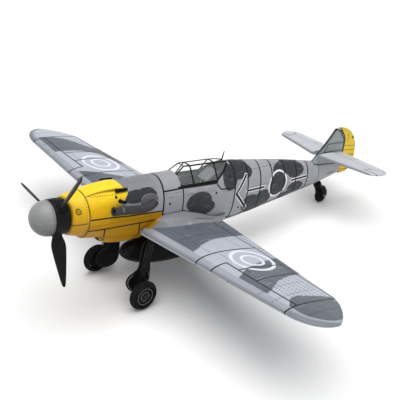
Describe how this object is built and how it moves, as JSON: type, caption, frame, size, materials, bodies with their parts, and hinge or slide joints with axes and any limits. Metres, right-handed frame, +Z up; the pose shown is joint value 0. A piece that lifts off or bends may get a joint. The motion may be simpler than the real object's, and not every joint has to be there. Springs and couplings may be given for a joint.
{
  "type": "propeller plane model",
  "caption": "Snap-together scale model of a low-wing propeller fighter with a turning propeller and rolling wheels, standing on its landing gear.",
  "frame": {"origin": "on the ground, under the centre of the bounding box, between the main wheels and the tail wheel", "axes": "nose towards -Y, port wing towards +X, starboard wing towards -X, +Z up from the ground"},
  "size_m": [0.2064, 0.1876, 0.0681],
  "materials": {
    "airframe_grey": "satin moulded plastic with printed camouflage",
    "wing_grey": "satin moulded plastic with printed camouflage",
    "yellow": "satin yellow paint",
    "tail_grey": "satin moulded plastic",
    "spinner_grey": "satin moulded plastic",
    "black_plastic": "satin black moulded plastic",
    "dark_grey_plastic": "satin dark grey moulded plastic",
    "tyre_black": "matt black",
    "pin_steel": "bright drawn pin",
    "clear_canopy": "clear moulded styrene with printed frames"
  },
  "bodies": {
    "airframe": {"fuselage_left": "airframe_grey", "fuselage_right": "airframe_grey", "wing_upper_left": "wing_grey", "wing_lower_left": "wing_grey", "wing_upper_right": "wing_grey", "wing_lower_right": "wing_grey", "radiator_left": "wing_grey", "radiator_right": "wing_grey", "nose_ring": "yellow", "oil_cooler_fairing": "yellow", "gun_barrel_left": "black_plastic", "gun_barrel_right": "black_plastic", "supercharger_intake": "dark_grey_plastic", "breather_pipe": "black_plastic", "cockpit_tub": "dark_grey_plastic", "seat": "dark_grey_plastic", "headrest_armour": "airframe_grey", "instrument_panel": "dark_grey_plastic", "control_stick": "black_plastic", "canopy": "clear_canopy", "antenna_mast": "black_plastic", "tail_fin": "tail_grey", "rudder": "yellow", "stabiliser_left": "wing_grey", "stabiliser_right": "wing_grey", "gear_leg_left": "black_plastic", "gear_leg_right": "black_plastic", "gear_door_left": "black_plastic", "gear_door_right": "black_plastic", "wheel_axle_left": "pin_steel", "wheel_axle_right": "pin_steel", "tail_wheel_fork": "black_plastic", "tail_wheel_axle": "pin_steel", "drop_tank_left": "black_plastic", "drop_tank_right": "black_plastic", "tank_rack": "black_plastic"},
    "propeller": {"propeller": "black_plastic", "spinner_cap": "spinner_grey", "propeller_shaft": "pin_steel", "shaft_retainer": "black_plastic"},
    "wheel_left": {"tyre_left": "tyre_black", "wheel_hub_left": "dark_grey_plastic"},
    "wheel_right": {"tyre_right": "tyre_black", "wheel_hub_right": "dark_grey_plastic"},
    "tail_wheel": {"tail_wheel": "tyre_black"}
  },
  "joints": [
    {"name": "propeller_spin", "type": "hinge", "parent": "airframe", "child": "propeller", "pos_m": [0, -0.08368, 0.04591], "axis": [0, -0.9845, 0.1756], "continuous": true},
    {"name": "wheel_left_roll", "type": "hinge", "parent": "airframe", "child": "wheel_left", "pos_m": [0.0178, -0.05577, 0.0065], "axis": [1, 0, 0], "continuous": true},
    {"name": "wheel_right_roll", "type": "hinge", "parent": "airframe", "child": "wheel_right", "pos_m": [-0.0178, -0.05577, 0.0065], "axis": [1, 0, 0], "continuous": true},
    {"name": "tail_wheel_roll", "type": "hinge", "parent": "airframe", "child": "tail_wheel", "pos_m": [0, 0.071, 0.0042], "axis": [1, 0, 0], "continuous": true}
  ]
}
